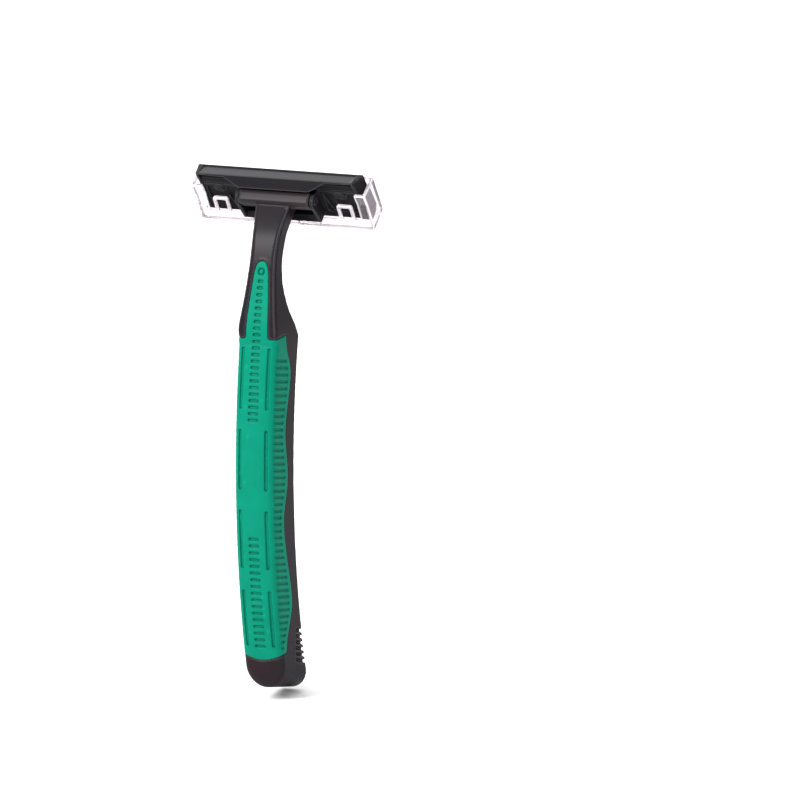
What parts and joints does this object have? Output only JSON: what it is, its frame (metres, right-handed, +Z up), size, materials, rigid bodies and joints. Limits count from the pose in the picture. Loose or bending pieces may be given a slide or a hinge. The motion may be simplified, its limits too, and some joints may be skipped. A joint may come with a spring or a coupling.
{
  "type": "twin-blade razor",
  "caption": "Slim black razor with a green gripped handle, a T-shaped neck, a rocking bladed head and a clear tray cover over the blades.",
  "frame": {"origin": "middle of the base of the bounding box, below the handle's rounded end", "axes": "+Z up the handle to the head, -Y to the blade side, +Y to the grip side, X along the blades"},
  "size_m": [0.0444, 0.0308, 0.124],
  "materials": {
    "handle_plastic": "fine satin moulded polystyrene",
    "grip_rubber": "soft satin thermoplastic rubber",
    "head_plastic": "satin moulded plastic",
    "guard_texture": "fine knurled moulded plastic",
    "strip": "smooth waxy polymer",
    "blade_steel": "ground and polished steel strip",
    "spacer_steel": "plain rolled strip",
    "clear_plastic": "clear moulded polystyrene"
  },
  "bodies": {
    "handle": {"handle": "handle_plastic", "grip": "grip_rubber"},
    "head": {"guard_frame": "head_plastic", "guard_strip": "guard_texture", "cap": "head_plastic", "lubricating_strip": "strip", "upper_blade": "blade_steel", "blade_spacer": "spacer_steel", "lower_blade": "blade_steel"},
    "cover": {"cover": "clear_plastic"}
  },
  "joints": [
    {"name": "head_pivot", "type": "hinge", "parent": "handle", "child": "head", "pos_m": [0, -0.00278, 0.1174], "axis": [1, 0, 0], "range_deg": [-12, 12], "stiffness_Nm_per_rad": 0.02},
    {"name": "cover_slide", "type": "slide", "parent": "head", "child": "cover", "axis": [0, -0.6157, -0.788], "range_m": [0, 0.018]}
  ]
}
